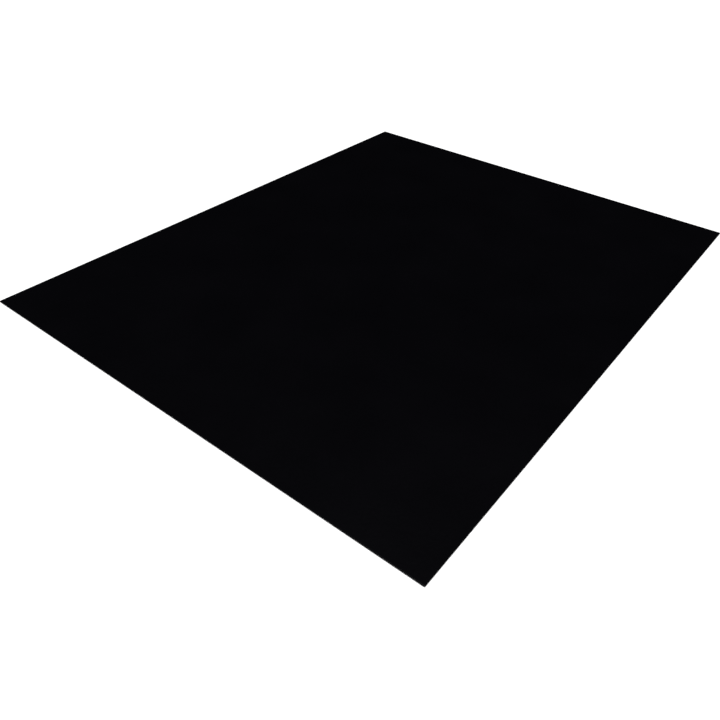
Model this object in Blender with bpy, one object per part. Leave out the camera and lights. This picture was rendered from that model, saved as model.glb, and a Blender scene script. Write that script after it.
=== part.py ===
"""Self-adhesive kick plate: a black coated sheet that is bonded to the foot of a door.

The plate lies on its back, face up. +X runs along its long side, which goes across the door,
+Y runs up the door, and +Z points out of the coated face. The origin is under the middle of
the plate, in the plane on which its release liners lie.

Each strip on the back is a double-sided acrylic foam tape, and a release liner covers it. Two
long strips run along the plate's top and bottom edges, and short ones stand between them: one
at each end and the rest evenly spaced, with the middle one on the plate's centre line.
"""

import math
from dataclasses import dataclass

import bmesh
import bpy
from mathutils import Matrix, Vector

INCH = 0.0254
MM = 0.001

# The sheet: 0.050 inch aluminium with its four front edges bevelled.
PLATE_LENGTH = 30 * INCH
PLATE_HEIGHT = 24 * INCH
SHEET_THICKNESS = 0.050 * INCH
CORNER_RADIUS = 1.0 * MM
CORNER_STEPS = 4
FRONT_BEVEL_WIDTH = 0.6 * MM
FRONT_BEVEL_DEPTH = 0.5 * MM
BACK_DEBURR = 0.15 * MM

# The tape: one inch wide, set in from the sheet's edges so that none of it shows.
TAPE_WIDTH = 1 * INCH
TAPE_THICKNESS = 0.025 * INCH
TAPE_INSET = 5.0 * MM
SHORT_STRIPS = 7

# The liner: a plastic film with a dry edge past each side of its tape, for the fingers to lift.
LINER_THICKNESS = 0.005 * INCH
LINER_DRY_EDGE = 3.0 * MM
LINER_END_GAP = 1.5 * MM

# Room between two layers that touch on the real object.
BOND_GAP = 0.05 * MM

# Heights of the layers' undersides.
LINER_Z = 0.0
TAPE_Z = LINER_Z + LINER_THICKNESS + BOND_GAP
SHEET_Z = TAPE_Z + TAPE_THICKNESS + BOND_GAP

# Lengths of the strips, and how far the outer ones' centre lines lie from the plate's.
LINER_WIDTH = TAPE_WIDTH + 2 * LINER_DRY_EDGE
LONG_STRIP = PLATE_LENGTH - 2 * TAPE_INSET
LONG_OFFSET = PLATE_HEIGHT / 2 - TAPE_INSET - TAPE_WIDTH / 2
SHORT_STRIP = 2 * (LONG_OFFSET - LINER_WIDTH / 2 - LINER_END_GAP)
SHORT_OFFSET = PLATE_LENGTH / 2 - TAPE_INSET - TAPE_WIDTH / 2

# The least angle between two faces whose edge is shaded as a crisp one.
SHARP_ANGLE = math.radians(30)

# Colours as linear RGB, then roughness and metallic value.
BLACK_COAT = ((0.0022, 0.0022, 0.0025), 0.55, 0.0)
GREY_FOAM = ((0.11, 0.115, 0.12), 0.85, 0.0)
RED_FILM = ((0.45, 0.012, 0.016), 0.35, 0.0)


@dataclass
class Strip:
    """One length of tape with its liner. It lies along X, or along Y if it is upright."""

    name: str
    x: float
    y: float
    length: float
    upright: bool


def clear_scene():
    for obj in list(bpy.data.objects):
        bpy.data.objects.remove(obj)


def material(name, colour, roughness, metallic):
    made = bpy.data.materials.new(name)
    made.use_nodes = True
    shader = made.node_tree.nodes["Principled BSDF"]
    shader.inputs["Base Color"].default_value = (*colour, 1.0)
    shader.inputs["Roughness"].default_value = roughness
    shader.inputs["Metallic"].default_value = metallic
    return made


def rounded_rectangle(length, height, radius, z):
    """Points of a rectangle with round corners, anticlockwise from above."""
    points = []
    for corner in range(4):
        side_x = 1 if corner in (0, 3) else -1
        side_y = 1 if corner in (0, 1) else -1
        centre = Vector((side_x * (length / 2 - radius), side_y * (height / 2 - radius), z))
        for step in range(CORNER_STEPS + 1):
            angle = math.pi / 2 * (corner + step / CORNER_STEPS)
            points.append(centre + radius * Vector((math.cos(angle), math.sin(angle), 0)))
    return points


def finish_mesh(name, shape, surface):
    mesh = bpy.data.meshes.new(name)
    shape.to_mesh(mesh)
    shape.free()
    mesh.shade_smooth()
    mesh.set_sharp_from_angle(angle=SHARP_ANGLE)
    mesh.materials.append(surface)
    return mesh


def sheet_mesh(surface):
    """The sheet as a stack of outlines, with its underside at z = 0."""
    outlines = (
        (BACK_DEBURR, 0.0),
        (0.0, BACK_DEBURR),
        (0.0, SHEET_THICKNESS - FRONT_BEVEL_DEPTH),
        (FRONT_BEVEL_WIDTH, SHEET_THICKNESS),
    )
    shape = bmesh.new()
    rings = []
    for inset, z in outlines:
        points = rounded_rectangle(
            PLATE_LENGTH - 2 * inset, PLATE_HEIGHT - 2 * inset, CORNER_RADIUS - inset, z
        )
        rings.append([shape.verts.new(point) for point in points])
    for lower, upper in zip(rings, rings[1:]):
        for i in range(len(lower)):
            after = (i + 1) % len(lower)
            shape.faces.new((lower[i], lower[after], upper[after], upper[i]))
    shape.faces.new(list(reversed(rings[0])))
    shape.faces.new(rings[-1])
    return finish_mesh("sheet", shape, surface)


def slab_mesh(name, length, width, thickness, surface):
    """A flat slab along X, with its underside at z = 0."""
    size = Matrix.Diagonal((length, width, thickness, 1))
    lift = Matrix.Translation((0, 0, thickness / 2))
    shape = bmesh.new()
    bmesh.ops.create_cube(shape, size=1.0, matrix=lift @ size)
    return finish_mesh(name, shape, surface)


def place(name, mesh, parent, location, turn=0.0):
    obj = bpy.data.objects.new(name, mesh)
    bpy.context.scene.collection.objects.link(obj)
    obj.parent = parent
    obj.location = location
    obj.rotation_euler.z = turn
    return obj


def strips():
    """Every length of tape on the back: the two long strips, then the short ones from -X to +X."""
    found = [
        Strip("bottom", 0.0, -LONG_OFFSET, LONG_STRIP, False),
        Strip("top", 0.0, LONG_OFFSET, LONG_STRIP, False),
    ]
    pitch = 2 * SHORT_OFFSET / (SHORT_STRIPS - 1)
    for number in range(SHORT_STRIPS):
        x = number * pitch - SHORT_OFFSET
        found.append(Strip(f"upright_{number + 1}", x, 0.0, SHORT_STRIP, True))
    return found


def build_strips(origin):
    foam = material("grey_foam", *GREY_FOAM)
    film = material("red_film", *RED_FILM)
    tapes, liners = {}, {}
    for length in (LONG_STRIP, SHORT_STRIP):
        tapes[length] = slab_mesh("tape", length, TAPE_WIDTH, TAPE_THICKNESS, foam)
        liners[length] = slab_mesh("liner", length, LINER_WIDTH, LINER_THICKNESS, film)
    for strip in strips():
        turn = math.pi / 2 if strip.upright else 0.0
        tape, liner = tapes[strip.length], liners[strip.length]
        place(f"tape_{strip.name}", tape, origin, (strip.x, strip.y, TAPE_Z), turn)
        place(f"liner_{strip.name}", liner, origin, (strip.x, strip.y, LINER_Z), turn)


def main():
    clear_scene()
    origin = place("kick_plate", None, None, (0, 0, 0))
    sheet = sheet_mesh(material("black_coat", *BLACK_COAT))
    place("face_plate", sheet, origin, (0, 0, SHEET_Z))
    build_strips(origin)


main()
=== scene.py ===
"""The look of a self-adhesive kick plate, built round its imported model.

The plate lies face up on a pale studio floor, with its long side along X. Each CAD node gives
way to a detailed piece of the same size: the coated sheet, a foam tape or a release film.
Lengths are in metres, and heights start at the floor.
"""

import math

import bmesh
import bpy
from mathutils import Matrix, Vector, noise


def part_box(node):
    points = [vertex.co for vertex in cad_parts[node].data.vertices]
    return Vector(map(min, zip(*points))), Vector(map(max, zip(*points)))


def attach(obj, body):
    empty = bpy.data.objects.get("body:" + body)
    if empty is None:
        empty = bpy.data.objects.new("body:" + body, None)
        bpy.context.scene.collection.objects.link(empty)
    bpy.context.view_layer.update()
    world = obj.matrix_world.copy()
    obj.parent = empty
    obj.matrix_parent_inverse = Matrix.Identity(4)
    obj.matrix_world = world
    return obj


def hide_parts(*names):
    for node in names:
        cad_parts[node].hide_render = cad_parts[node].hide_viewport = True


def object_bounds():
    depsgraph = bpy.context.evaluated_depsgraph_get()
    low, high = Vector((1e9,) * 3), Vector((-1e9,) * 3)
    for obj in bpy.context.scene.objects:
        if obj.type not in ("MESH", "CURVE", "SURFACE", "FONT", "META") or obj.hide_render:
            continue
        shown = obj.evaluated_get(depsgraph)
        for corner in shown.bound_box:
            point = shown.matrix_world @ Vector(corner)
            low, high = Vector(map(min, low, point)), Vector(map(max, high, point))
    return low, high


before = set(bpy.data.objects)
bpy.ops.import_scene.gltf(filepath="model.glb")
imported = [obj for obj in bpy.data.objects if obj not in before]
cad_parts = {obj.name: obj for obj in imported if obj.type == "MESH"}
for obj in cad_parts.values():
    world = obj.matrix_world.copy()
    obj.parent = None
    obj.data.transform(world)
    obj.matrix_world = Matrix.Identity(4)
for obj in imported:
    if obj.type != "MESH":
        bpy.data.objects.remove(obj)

MM = 0.001
CAD_LOW, CAD_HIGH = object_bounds()
SHEET_LOW, SHEET_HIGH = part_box("face_plate")
MIDDLE = (SHEET_LOW + SHEET_HIGH) / 2

# The camera, from the middle of the plate's face. It looks at a point left of the middle.
LENS = 34.70
CAMERA_PLACE = Vector((-0.6627, -0.4503, 0.4622))
CAMERA_AIM = Vector((-0.1931, -0.0920, 0.0))
CAMERA_ROLL = math.radians(1.85)

# One very wide, soft light, high on the camera's side of the plate, over a pale floor.
LIGHT_STRENGTH = 4.4
LIGHT_SPREAD = math.radians(50)
LIGHT_FROM = Vector((-0.28, -0.19, 0.94))
FLOOR_SIZE = 40.0
FLOOR_GAP = 0.02 * MM
BACKDROP = (1.0, 1.0, 1.0)
FILL_STRENGTH = 0.02

# The sheet's shape. Its bevel is the CAD model's, with the corners of the profile rounded.
CORNER_RADIUS = 1.0 * MM
INNER_CORNER_RADIUS = 0.3 * MM
CORNER_STEPS = 8
BEVEL_WIDTH = 0.6 * MM
BEVEL_DEPTH = 0.5 * MM
DEBURR_RADIUS = 0.15 * MM
BEVEL_FOOT_RADIUS = 0.2 * MM
BEVEL_TOP_RADIUS = 0.3 * MM
FILLET_STEPS = 5

# The coat builds up in a faint rim along the edges, and the sheet isn't perfectly flat.
RIM_WIDTH = 2.2 * MM
RIM_HEIGHT = 0.03 * MM
FIELD_INSET = 7.0 * MM
GRID_INSET = 12.0 * MM
GRID_CELLS = (61, 49)
WAVE_DEPTH = 0.06 * MM
WAVE_LENGTH = 160 * MM
WAVE_RAMP = 60 * MM

# The foam tape's cut sides bulge a little and wander along its length.
FOAM_BULGE = 0.14 * MM
FOAM_SIDE_STEPS = 5
FOAM_WANDER = 0.15 * MM
FOAM_WANDER_LENGTH = 30 * MM
FOAM_STATION = 12.0 * MM

# The release film is flat on its tape. Its dry edges lift by DRY_LIFT at most, and by LEAST_LIFT
# of that at least. The film turns pale within PALE_SHARE of their width.
DRY_EDGE = 3.0 * MM
DRY_LIFT = 0.3 * MM
DRY_STEPS = 5
LIFT_LENGTH = 45 * MM
LEAST_LIFT = 0.1
PALE_SHARE = 1 / 3
FILM_WANDER = 0.2 * MM
FILM_WANDER_LENGTH = 50 * MM
FILM_STATION = 6.0 * MM

# The sheet's material slots, the least angle between faces that shades as a sharp edge, and how
# far apart in the noise two seeds lie.
FACE_SLOT, EDGE_SLOT, BACK_SLOT = range(3)
SHARP_ANGLE = math.radians(40)
SEED_SPACING = 7.3

# The powder coat: its orange peel, a finer grain, and the shear's upright marks on the edges.
PEEL_SIZE, PEEL_DEPTH = 3.6 * MM, 0.09 * MM
GRAIN_SIZE, GRAIN_DEPTH = 0.6 * MM, 0.003 * MM
SHEAR_MARK_SIZE, SHEAR_MARK_DEPTH = 0.25 * MM, 0.012 * MM
SHEAR_MARK_STRETCH = 12
COAT_CLOUD_SIZE = 90 * MM
COAT_ROUGHNESS = (0.33, 0.40)

# The bare back: rolling marks along X, stains, and a ragged, speckled band of overspray.
ROLLING_SIZE, ROLLING_DEPTH = 0.35 * MM, 0.004 * MM
ROLLING_STRETCH = 160
STAIN_SIZE = 60 * MM
SPRAY_SOLID, SPRAY_END = 1.6 * MM, 3.4 * MM
SPRAY_RAGGED_SIZE, SPRAY_RAGGED_REACH = 18 * MM, 0.5 * MM
SPECK_SIZE, SPECK_REACH = 0.35 * MM, 1.0 * MM
METAL_ROUGHNESS, SPRAY_ROUGHNESS = 0.34, 0.60

# The foam's cells, and its patches of slightly different grey.
CELL_SIZE, CELL_DEPTH = 0.16 * MM, 0.05 * MM
FOAM_CLOUD_SIZE = 9 * MM

# The film's embossed diamonds and shallow wrinkles.
DIAMOND_PITCH, DIAMOND_DEPTH = 1.6 * MM, 0.035 * MM
DIAMOND_ANGLE = math.radians(30)
WAVE_NODE_RATE = 20 / math.tau
WRINKLE_SIZE, WRINKLE_DEPTH = 14 * MM, 0.10 * MM
FILM_CLOUD_SIZE = 25 * MM


# Camera, light and floor


def make_camera():
    data = bpy.data.cameras.new("camera")
    data.lens = LENS
    camera = bpy.data.objects.new("camera", data)
    bpy.context.scene.collection.objects.link(camera)
    face = Vector((MIDDLE.x, MIDDLE.y, SHEET_HIGH.z))
    camera.location = face + CAMERA_PLACE
    camera.rotation_euler = (CAMERA_AIM - CAMERA_PLACE).to_track_quat("-Z", "Y").to_euler()
    camera.rotation_euler.rotate_axis("Z", CAMERA_ROLL)
    bpy.context.scene.camera = camera


def make_light():
    data = bpy.data.lights.new("soft_light", "SUN")
    data.energy = LIGHT_STRENGTH
    data.angle = LIGHT_SPREAD
    light = bpy.data.objects.new("soft_light", data)
    bpy.context.scene.collection.objects.link(light)
    light.location = MIDDLE + LIGHT_FROM
    light.rotation_euler = (-LIGHT_FROM).to_track_quat("-Z", "Y").to_euler()


def make_backdrop():
    """A pale backdrop behind the floor's edge, and a faint fill on everything else."""
    world = bpy.data.worlds.new("studio")
    bpy.context.scene.world = world
    world.use_nodes = True
    nodes, links = world.node_tree.nodes, world.node_tree.links
    fill = nodes["Background"]
    fill.inputs["Strength"].default_value = FILL_STRENGTH
    backdrop = nodes.new("ShaderNodeBackground")
    backdrop.inputs["Color"].default_value = (*BACKDROP, 1.0)
    path = nodes.new("ShaderNodeLightPath")
    mix = nodes.new("ShaderNodeMixShader")
    links.new(path.outputs["Is Camera Ray"], mix.inputs[0])
    links.new(fill.outputs[0], mix.inputs[1])
    links.new(backdrop.outputs[0], mix.inputs[2])
    links.new(mix.outputs[0], nodes["World Output"].inputs["Surface"])


def make_floor():
    shape = bmesh.new()
    bmesh.ops.create_grid(shape, x_segments=1, y_segments=1, size=FLOOR_SIZE / 2)
    floor = mesh_object("floor", shape, [floor_paint()])
    floor.location = (MIDDLE.x, MIDDLE.y, CAD_LOW.z - FLOOR_GAP)


# Materials


class Surface:
    """A new material with its Principled shader and the means to add nodes to it."""

    def __init__(self, name, specular=0.5):
        self.material = bpy.data.materials.new(name)
        self.material.use_nodes = True
        self.tree = self.material.node_tree
        self.shader = self.tree.nodes["Principled BSDF"]
        self.shader.inputs["Specular IOR Level"].default_value = specular
        self.place = self.node("ShaderNodeTexCoord").outputs["Object"]

    def node(self, kind, inputs=(), **settings):
        made = self.tree.nodes.new(kind)
        for setting, value in settings.items():
            setattr(made, setting, value)
        for socket, value in dict(inputs).items():
            self.feed(made.inputs[socket], value)
        return made

    def feed(self, socket, value):
        if isinstance(value, bpy.types.NodeSocket):
            self.tree.links.new(value, socket)
        else:
            socket.default_value = value

    def noise(self, size, detail, stretch=(1, 1, 1)):
        """Noise with features about `size` metres across, drawn out by `stretch`."""
        scale = [1 / (size * share) for share in stretch]
        place = self.node("ShaderNodeMapping", {"Vector": self.place, "Scale": scale})
        inputs = {"Vector": place.outputs[0], "Scale": 1.0, "Detail": detail}
        return self.node("ShaderNodeTexNoise", inputs).outputs["Fac"]

    def spread(self, value, low, high, start=0.0, end=1.0):
        """`value` from start to end, as low to high."""
        inputs = {"Value": value, "From Min": start, "From Max": end, "To Min": low, "To Max": high}
        return self.node("ShaderNodeMapRange", inputs).outputs[0]

    def blend(self, share, first, second):
        """The colour that lies `share` of the way from first to second. A number is a grey."""
        made = self.node("ShaderNodeMix", data_type="RGBA")
        enabled = [socket for socket in made.inputs if socket.enabled]
        for socket, value in zip(enabled, (share, first, second)):
            self.feed(socket, value)
        return next(socket for socket in made.outputs if socket.enabled)

    def maths(self, operation, first, second=0.0):
        made = self.node("ShaderNodeMath", operation=operation)
        self.feed(made.inputs[0], first)
        self.feed(made.inputs[1], second)
        return made.outputs[0]

    def bump(self, height, depth, under=None):
        """The normal of relief that is `depth` metres deep, laid over `under` if it is given."""
        inputs = {"Height": height, "Distance": depth, "Strength": 1.0}
        if under is not None:
            inputs["Normal"] = under
        return self.node("ShaderNodeBump", inputs).outputs["Normal"]

    def set(self, socket, value):
        self.feed(self.shader.inputs[socket], value)


def rgba(red, green, blue):
    return (red, green, blue, 1.0)


def floor_paint():
    made = Surface("pale_floor", specular=0.1)
    made.set("Base Color", rgba(0.92, 0.92, 0.92))
    made.set("Roughness", 0.9)
    return made.material


def black_coat(name, sheared):
    """Black powder coat with a fine orange peel. On the sheared edges the cut shows through."""
    made = Surface(name, specular=0.1)
    clouds = made.noise(COAT_CLOUD_SIZE, detail=3.0)
    grain = made.noise(GRAIN_SIZE, detail=3.0)
    broad, fine = [made.spread(pattern, 0.0, 1.0, 0.3, 0.7) for pattern in (clouds, grain)]
    shade = made.blend(0.6, broad, fine)
    black = made.blend(shade, rgba(0.0006, 0.0006, 0.0010), rgba(0.0012, 0.0011, 0.0017))
    made.set("Base Color", black)
    made.set("Roughness", made.spread(shade, *COAT_ROUGHNESS))
    relief = made.bump(made.noise(PEEL_SIZE, detail=1.0), PEEL_DEPTH)
    relief = made.bump(grain, GRAIN_DEPTH, relief)
    if sheared:
        marks = made.noise(SHEAR_MARK_SIZE, detail=3.0, stretch=(1, 1, SHEAR_MARK_STRETCH))
        relief = made.bump(marks, SHEAR_MARK_DEPTH, relief)
    made.set("Normal", relief)
    return made.material


def mill_back():
    """The sheet's bare back: rolled aluminium, with black overspray round its edges."""
    made = Surface("mill_back")
    rolling = made.noise(ROLLING_SIZE, detail=4.0, stretch=(ROLLING_STRETCH, 1, 1))
    stains = made.noise(STAIN_SIZE, detail=4.0)
    bright = made.blend(rolling, rgba(0.56, 0.57, 0.58), rgba(0.74, 0.75, 0.76))
    stained = made.spread(stains, 0.0, 0.35, 0.4, 0.75)
    metal = made.blend(stained, bright, rgba(0.50, 0.50, 0.51))
    spray = overspray(made)
    made.set("Base Color", made.blend(spray, metal, rgba(0.004, 0.004, 0.004)))
    made.set("Metallic", made.spread(spray, 1.0, 0.0))
    made.set("Roughness", made.spread(spray, METAL_ROUGHNESS, SPRAY_ROUGHNESS))
    made.set("Normal", made.bump(rolling, ROLLING_DEPTH))
    return made.material


def overspray(made):
    """1 where paint that went round the nearest edge covers the back, and 0 further in."""
    place = made.node("ShaderNodeSeparateXYZ", {"Vector": made.place})
    sides = []
    for axis, middle, half in zip("XY", MIDDLE, (SHEET_HIGH - SHEET_LOW) / 2):
        offset = made.maths("SUBTRACT", place.outputs[axis], middle)
        sides.append(made.maths("SUBTRACT", half, made.maths("ABSOLUTE", offset)))
    patches = made.noise(SPRAY_RAGGED_SIZE, detail=2.0)
    reach = made.spread(patches, -SPRAY_RAGGED_REACH, SPRAY_RAGGED_REACH, 0.3, 0.7)
    specks = made.spread(made.noise(SPECK_SIZE, detail=2.0), -SPECK_REACH, SPECK_REACH, 0.25, 0.75)
    inside = made.maths("ADD", made.maths("MINIMUM", *sides), made.maths("ADD", reach, specks))
    return made.spread(inside, 1.0, 0.0, SPRAY_SOLID, SPRAY_END)


def grey_foam():
    """Acrylic foam, whose cells are cut open into pits along the tape's sides, with painted shade
    darkening the pits.
    """
    made = Surface("grey_foam", specular=0.25)
    inputs = {"Vector": made.place, "Scale": 1 / CELL_SIZE}
    cells = made.node("ShaderNodeTexVoronoi", inputs).outputs["Distance"]
    clouds = made.noise(FOAM_CLOUD_SIZE, detail=3.0)
    base = made.blend(clouds, rgba(0.085, 0.088, 0.092), rgba(0.135, 0.139, 0.146))
    # Painted shade: the colour darkens towards the middle of each cell, where the bump's pits are
    # deepest.
    pit_shade = made.spread(cells, 0.6, 0.0, 0.1, 0.5)
    made.set("Base Color", made.blend(pit_shade, base, rgba(0.05, 0.05, 0.055)))
    made.set("Roughness", made.spread(clouds, 0.78, 0.92))
    made.set("Normal", made.bump(cells, CELL_DEPTH))
    return made.material


def red_film():
    """Polyethylene film, embossed in fine diamonds, and paler where no tape lies behind it."""
    made = Surface("red_film")
    dry = made.node("ShaderNodeAttribute", attribute_name="dry").outputs["Fac"]
    clouds = made.noise(FILM_CLOUD_SIZE, detail=3.0)
    backed = made.blend(clouds, rgba(0.30, 0.006, 0.010), rgba(0.38, 0.009, 0.013))
    made.set("Base Color", made.blend(dry, backed, rgba(0.52, 0.020, 0.024)))
    made.set("Roughness", made.spread(clouds, 0.26, 0.38, 0.3, 0.7))
    diamonds = [ridges(made, turn) for turn in (DIAMOND_ANGLE, -DIAMOND_ANGLE)]
    relief = made.bump(made.maths("MAXIMUM", *diamonds), DIAMOND_DEPTH)
    made.set("Normal", made.bump(made.noise(WRINKLE_SIZE, detail=2.0), WRINKLE_DEPTH, relief))
    return made.material


def ridges(made, angle):
    """Parallel ridges, one diamond apart, turned from X by an angle."""
    turn = {"Vector": made.place, "Rotation": (0.0, 0.0, angle)}
    place = made.node("ShaderNodeMapping", turn).outputs[0]
    inputs = {"Vector": place, "Scale": 1 / (WAVE_NODE_RATE * DIAMOND_PITCH)}
    return made.node("ShaderNodeTexWave", inputs, bands_direction="Y").outputs["Fac"]


# Shapes


def mesh_object(name, shape, materials):
    mesh = bpy.data.meshes.new(name)
    shape.to_mesh(mesh)
    shape.free()
    mesh.shade_smooth()
    mesh.set_sharp_from_angle(angle=SHARP_ANGLE)
    for material in materials:
        mesh.materials.append(material)
    made = bpy.data.objects.new(name, mesh)
    bpy.context.scene.collection.objects.link(made)
    return made


def smooth_step(value):
    value = min(max(value, 0.0), 1.0)
    return value * value * (3 - 2 * value)


def wobble(place, length, seed):
    """A smooth random value from about 0 to 1 that changes over `length`."""
    return 0.5 + 0.5 * noise.noise(Vector((place / length, seed * SEED_SPACING, 0.5)))


def fillet(before, corner, after, radius):
    """The arc that rounds a corner of a profile, with points as 2D vectors."""
    to_before = (before - corner).normalized()
    to_after = (after - corner).normalized()
    half = to_before.angle(to_after) / 2
    centre = corner + (to_before + to_after).normalized() * radius / math.sin(half)
    start = corner + to_before * radius / math.tan(half) - centre
    sweep = -start.angle_signed(corner + to_after * radius / math.tan(half) - centre)
    arc = []
    for step in range(FILLET_STEPS + 1):
        angle = sweep * step / FILLET_STEPS
        turned = Vector((
            start.x * math.cos(angle) - start.y * math.sin(angle),
            start.x * math.sin(angle) + start.y * math.cos(angle),
        ))
        arc.append(centre + turned)
    return arc


def sheet_profile(thickness):
    """(inset, height) pairs from the back, round the edge and on to the coated face."""
    back = Vector((FIELD_INSET, 0.0))
    foot = Vector((0.0, 0.0))
    shoulder = Vector((0.0, thickness - BEVEL_DEPTH))
    brow = Vector((BEVEL_WIDTH, thickness))
    rim = Vector((RIM_WIDTH, thickness))
    field = Vector((FIELD_INSET, thickness - RIM_HEIGHT))
    points = [(back, BACK_SLOT)]
    points += [(p, EDGE_SLOT) for p in fillet(back, foot, shoulder, DEBURR_RADIUS)]
    points += [(p, EDGE_SLOT) for p in fillet(foot, shoulder, brow, BEVEL_FOOT_RADIUS)]
    points += [(p, EDGE_SLOT) for p in fillet(shoulder, brow, rim, BEVEL_TOP_RADIUS)]
    return points + [(rim, FACE_SLOT), (field, FACE_SLOT)]


def outline(half, radius, grid_half):
    """Points of a rounded rectangle, anticlockwise, with side points opposite the grid's."""
    points = []
    for corner in range(4):
        x = 1 if corner in (0, 3) else -1
        y = 1 if corner in (0, 1) else -1
        for step in range(CORNER_STEPS + 1):
            angle = math.pi / 2 * (corner + step / CORNER_STEPS)
            points.append((
                x * (half.x - radius) + radius * math.cos(angle),
                y * (half.y - radius) + radius * math.sin(angle),
            ))
        for step in range(1, GRID_CELLS[corner % 2]):
            share = 1 - 2 * step / GRID_CELLS[corner % 2]
            if corner % 2 == 0:
                points.append((x * grid_half.x * share, y * half.y))
            else:
                points.append((x * half.x, y * grid_half.y * share))
    return points


def grid_border():
    """The grid's border, as (column, row) in the order of outline()'s points."""
    columns, rows = GRID_CELLS
    corners = [(columns, rows), (0, rows), (0, 0), (columns, 0)]
    border = []
    for corner, (column, row) in enumerate(corners):
        border += [(column, row)] * (CORNER_STEPS + 1)
        to_column, to_row = corners[(corner + 1) % 4]
        count = GRID_CELLS[corner % 2]
        for step in range(1, count):
            share = step / count
            border.append((
                round(column + (to_column - column) * share),
                round(row + (to_row - row) * share),
            ))
    return border


def add_grid(shape, half, height, flip, ring, slot):
    """Fills a ring with a grid whose heights come from height(x, y)."""
    columns, rows = GRID_CELLS
    corners = {}
    for column in range(columns + 1):
        for row in range(rows + 1):
            x = half.x * (2 * column / columns - 1)
            y = half.y * (2 * row / rows - 1)
            corners[column, row] = shape.verts.new((x, y, height(x, y)))
    faces = []
    for column in range(columns):
        for row in range(rows):
            square = [(column, row), (column + 1, row), (column + 1, row + 1), (column, row + 1)]
            faces.append([corners[place] for place in square])
    border = [corners[place] for place in grid_border()]
    for i in range(len(ring)):
        after = (i + 1) % len(ring)
        inner = [border[after], border[i]] if border[after] != border[i] else [border[i]]
        faces.append([ring[i], ring[after], *inner])
    for face in faces:
        made = shape.faces.new(reversed(face) if flip else face)
        made.material_index = slot


def make_sheet():
    """The coated sheet: one closed skin from its bare back, round the bevel, to its face."""
    half = (SHEET_HIGH - SHEET_LOW) / 2
    thickness = SHEET_HIGH.z - SHEET_LOW.z
    grid_half = Vector((half.x - GRID_INSET, half.y - GRID_INSET))
    shape = bmesh.new()
    rings, slots = [], []
    for (inset, height), slot in sheet_profile(thickness):
        radius = max(CORNER_RADIUS - inset, INNER_CORNER_RADIUS)
        ring = outline(Vector((half.x - inset, half.y - inset)), radius, grid_half)
        rings.append([shape.verts.new((x, y, height)) for x, y in ring])
        slots.append(slot)
    for lower, upper, slot in zip(rings, rings[1:], slots):
        for i in range(len(lower)):
            after = (i + 1) % len(lower)
            face = shape.faces.new((lower[i], lower[after], upper[after], upper[i]))
            face.material_index = slot

    def face_height(x, y):
        edge = min(grid_half.x - abs(x), grid_half.y - abs(y))
        place = Vector((x, y, 0.0)) / WAVE_LENGTH
        dip = WAVE_DEPTH * (0.5 + 0.5 * noise.noise(place)) * smooth_step(edge / WAVE_RAMP)
        return thickness - RIM_HEIGHT - dip

    add_grid(shape, grid_half, lambda x, y: 0.0, True, rings[0], BACK_SLOT)
    add_grid(shape, grid_half, face_height, False, rings[-1], FACE_SLOT)
    bmesh.ops.translate(shape, verts=shape.verts, vec=(MIDDLE.x, MIDDLE.y, SHEET_LOW.z))
    materials = [black_coat("black_coat", False), black_coat("coated_edge", True), mill_back()]
    return mesh_object("coated_sheet", shape, materials)


def make_ribbon(name, node, station, section, material):
    """A strip along the longer side of a CAD node. section(u) gives its cross-section at u
    metres from its middle: (across, low, high, dry) for each point from one side to the other."""
    low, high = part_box(node)
    middle, size = (low + high) / 2, high - low
    upright = size.y > size.x
    length = size.y if upright else size.x
    count = round(length / station)
    shape = bmesh.new()
    dry_layer = shape.verts.layers.float.new("dry")
    rings = []
    for i in range(count + 1):
        u = length * (i / count - 0.5)
        across = section(u)
        underside = [(v, under, dry) for v, under, over, dry in across]
        upper_side = [(v, over, dry) for v, under, over, dry in reversed(across)]
        ring = []
        for v, height, dry in underside + upper_side:
            x, y = (-v, u) if upright else (u, v)
            corner = shape.verts.new((middle.x + x, middle.y + y, low.z + height))
            corner[dry_layer] = dry
            ring.append(corner)
        rings.append(ring)
    around = len(rings[0])
    for ring, following in zip(rings, rings[1:]):
        for i in range(around):
            after = (i + 1) % around
            shape.faces.new((ring[i], ring[after], following[after], following[i]))
    for i in range(around // 2 - 1):
        first = [i, i + 1, around - 2 - i, around - 1 - i]
        shape.faces.new([rings[0][k] for k in reversed(first)])
        shape.faces.new([rings[-1][k] for k in first])
    return mesh_object(name, shape, [material])


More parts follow.
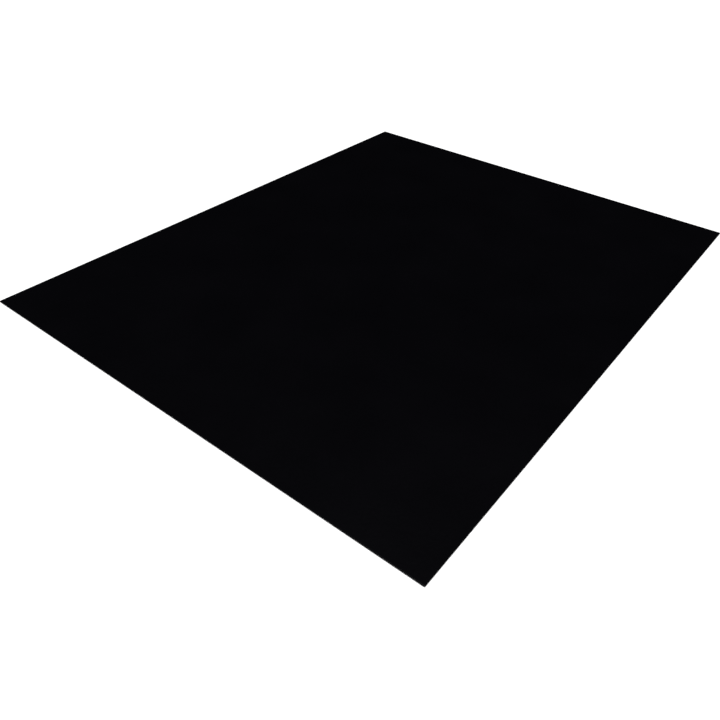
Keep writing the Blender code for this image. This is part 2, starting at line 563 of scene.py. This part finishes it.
def make_tape(node, seed, material):
    """A length of foam tape with bulging sides."""
    low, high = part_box(node)
    size = high - low
    half, thickness = min(size.x, size.y) / 2, size.z

    def section(u):
        left_inset, right_inset = [
            FOAM_WANDER * wobble(u, FOAM_WANDER_LENGTH, seed + side / 2) for side in (0, 1)
        ]
        found = []
        for step in range(1, FOAM_SIDE_STEPS + 1):
            angle = math.pi / 2 * step / FOAM_SIDE_STEPS
            inset = FOAM_BULGE * (1 - math.cos(angle))
            rise = thickness / 2 * math.sin(angle)
            found.append((inset, thickness / 2 - rise, thickness / 2 + rise, 0.0))
        left = [(left_inset + inset - half, *rest) for inset, *rest in found]
        right = [(half - right_inset - inset, *rest) for inset, *rest in reversed(found)]
        return left + [(0.0, 0.0, thickness, 0.0)] + right

    return make_ribbon(node.replace("tape", "foam_tape"), node, FOAM_STATION, section, material)


def make_liner(node, seed, material):
    """A length of release film with its dry edges lifting."""
    low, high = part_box(node)
    size = high - low
    half, thickness = min(size.x, size.y) / 2, size.z

    def section(u):
        found = []
        for side in (-1, 1):
            wander = FILM_WANDER * wobble(u, FILM_WANDER_LENGTH, seed + side)
            lifted = wobble(u, LIFT_LENGTH, seed + 3 * side)
            lift = DRY_LIFT * (LEAST_LIFT + (1 - LEAST_LIFT) * lifted)
            for step in range(DRY_STEPS + 1):
                share = step / DRY_STEPS
                v = side * (half - DRY_EDGE + share * (DRY_EDGE - wander))
                rise = lift * share ** 2
                found.append((v, rise, rise + thickness, min(share / PALE_SHARE, 1.0)))
        return sorted(found)

    return make_ribbon(node.replace("liner", "release_film"), node, FILM_STATION, section, material)


# The object, piece by piece


def put(piece, node):
    """Stands a piece in for its CAD node, whose part it hides."""
    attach(piece, "root")
    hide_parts(node)


def main():
    make_camera()
    make_light()
    make_backdrop()
    make_floor()
    bpy.context.scene.view_settings.view_transform = "Standard"
    put(make_sheet(), "face_plate")
    foam, film = grey_foam(), red_film()
    for seed, node in enumerate(sorted(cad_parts)):
        if node.startswith("tape_"):
            put(make_tape(node, seed, foam), node)
        elif node.startswith("liner_"):
            put(make_liner(node, seed, film), node)


main()
